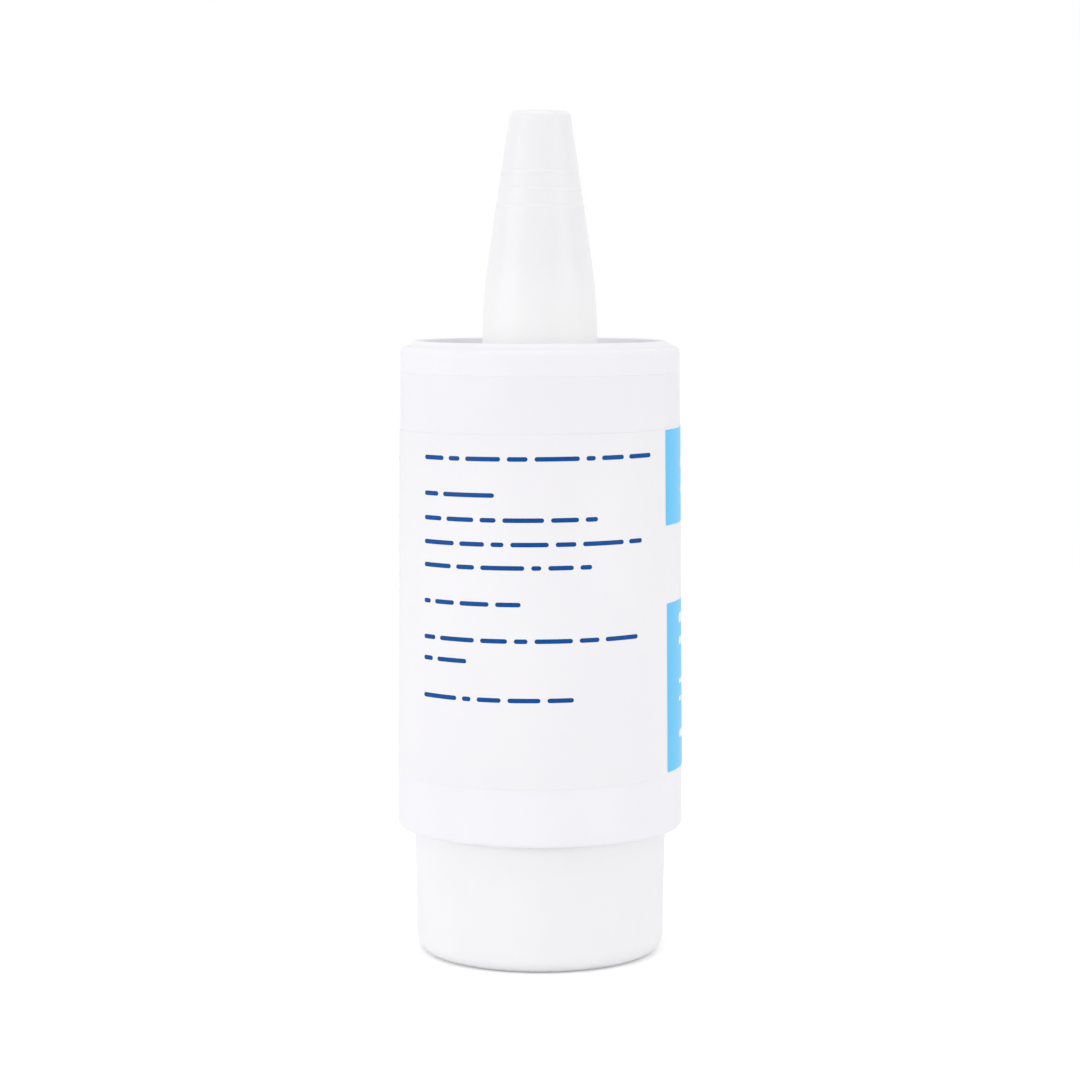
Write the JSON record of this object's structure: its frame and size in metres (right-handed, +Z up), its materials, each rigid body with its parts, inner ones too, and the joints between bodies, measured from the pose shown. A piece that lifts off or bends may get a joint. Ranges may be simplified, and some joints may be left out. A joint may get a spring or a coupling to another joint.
{
  "type": "eye drop bottle",
  "caption": "Upright multi-dose eye drop bottle with a push base, a sprung drop pump inside a labelled sleeve, a conical nozzle and a tapered pull-off cap.",
  "frame": {"origin": "centre of the foot ring under the base cup, on the surface the bottle stands on", "axes": "+Z up along the bottle's axis towards the cap; -Y is the front, where the printed panel of the label faces; +X is to the right seen from the front"},
  "size_m": [0.0328, 0.0328, 0.0955],
  "materials": {
    "base_white": "white polypropylene, satin, lightly handled",
    "sleeve_white": "white polypropylene, fine satin",
    "label_film": "white printed film with sky blue panels and plain navy bars, satin",
    "cap_natural": "milky translucent natural polypropylene, satin",
    "nozzle_white": "white polyethylene, satin",
    "natural_pe": "natural polyethylene, waxy",
    "bag_film": "thin flexible laminated film, soft sheen",
    "seal_rubber": "dark grey elastomer, matt",
    "spring_steel": "drawn stainless spring wire",
    "silver_plate": "silver plated spring wire",
    "ball_steel": "ground and polished stainless ball"
  },
  "bodies": {
    "bottle": {"base_cup": "base_white", "container": "natural_pe", "inner_bag": "bag_film", "neck_gasket": "seal_rubber", "pump_cylinder": "natural_pe", "closure_ring": "base_white", "stem_guide": "nozzle_white", "ball_stop": "natural_pe", "return_spring": "spring_steel"},
    "pump_head": {"outer_sleeve": "sleeve_white", "shoulder_collar": "sleeve_white", "wrap_label": "label_film", "dropper_nozzle": "nozzle_white", "valve_tube": "nozzle_white", "piston_stem": "nozzle_white", "piston_seal": "seal_rubber", "outlet_spring": "silver_plate"},
    "cap": {"protective_cap": "cap_natural"},
    "inlet_valve": {"inlet_ball": "ball_steel"},
    "outlet_valve": {"outlet_pin": "nozzle_white"}
  },
  "joints": [
    {"name": "pump_stroke", "type": "slide", "parent": "bottle", "child": "pump_head", "axis": [0, 0, 1], "range_m": [-0.0035, 0], "stiffness_N_per_m": 650, "springref_m": 0.001, "deforming": ["return_spring"]},
    {"name": "cap_pull", "type": "slide", "parent": "pump_head", "child": "cap", "axis": [0, 0, 1], "range_m": [0, 0.03]},
    {"name": "inlet_ball_lift", "type": "slide", "parent": "bottle", "child": "inlet_valve", "axis": [0, 0, 1], "range_m": [0, 0.0006]},
    {"name": "outlet_pin_lift", "type": "slide", "parent": "pump_head", "child": "outlet_valve", "axis": [0, 0, 1], "range_m": [-0.0006, 0], "stiffness_N_per_m": 300, "deforming": ["outlet_spring"]}
  ]
}
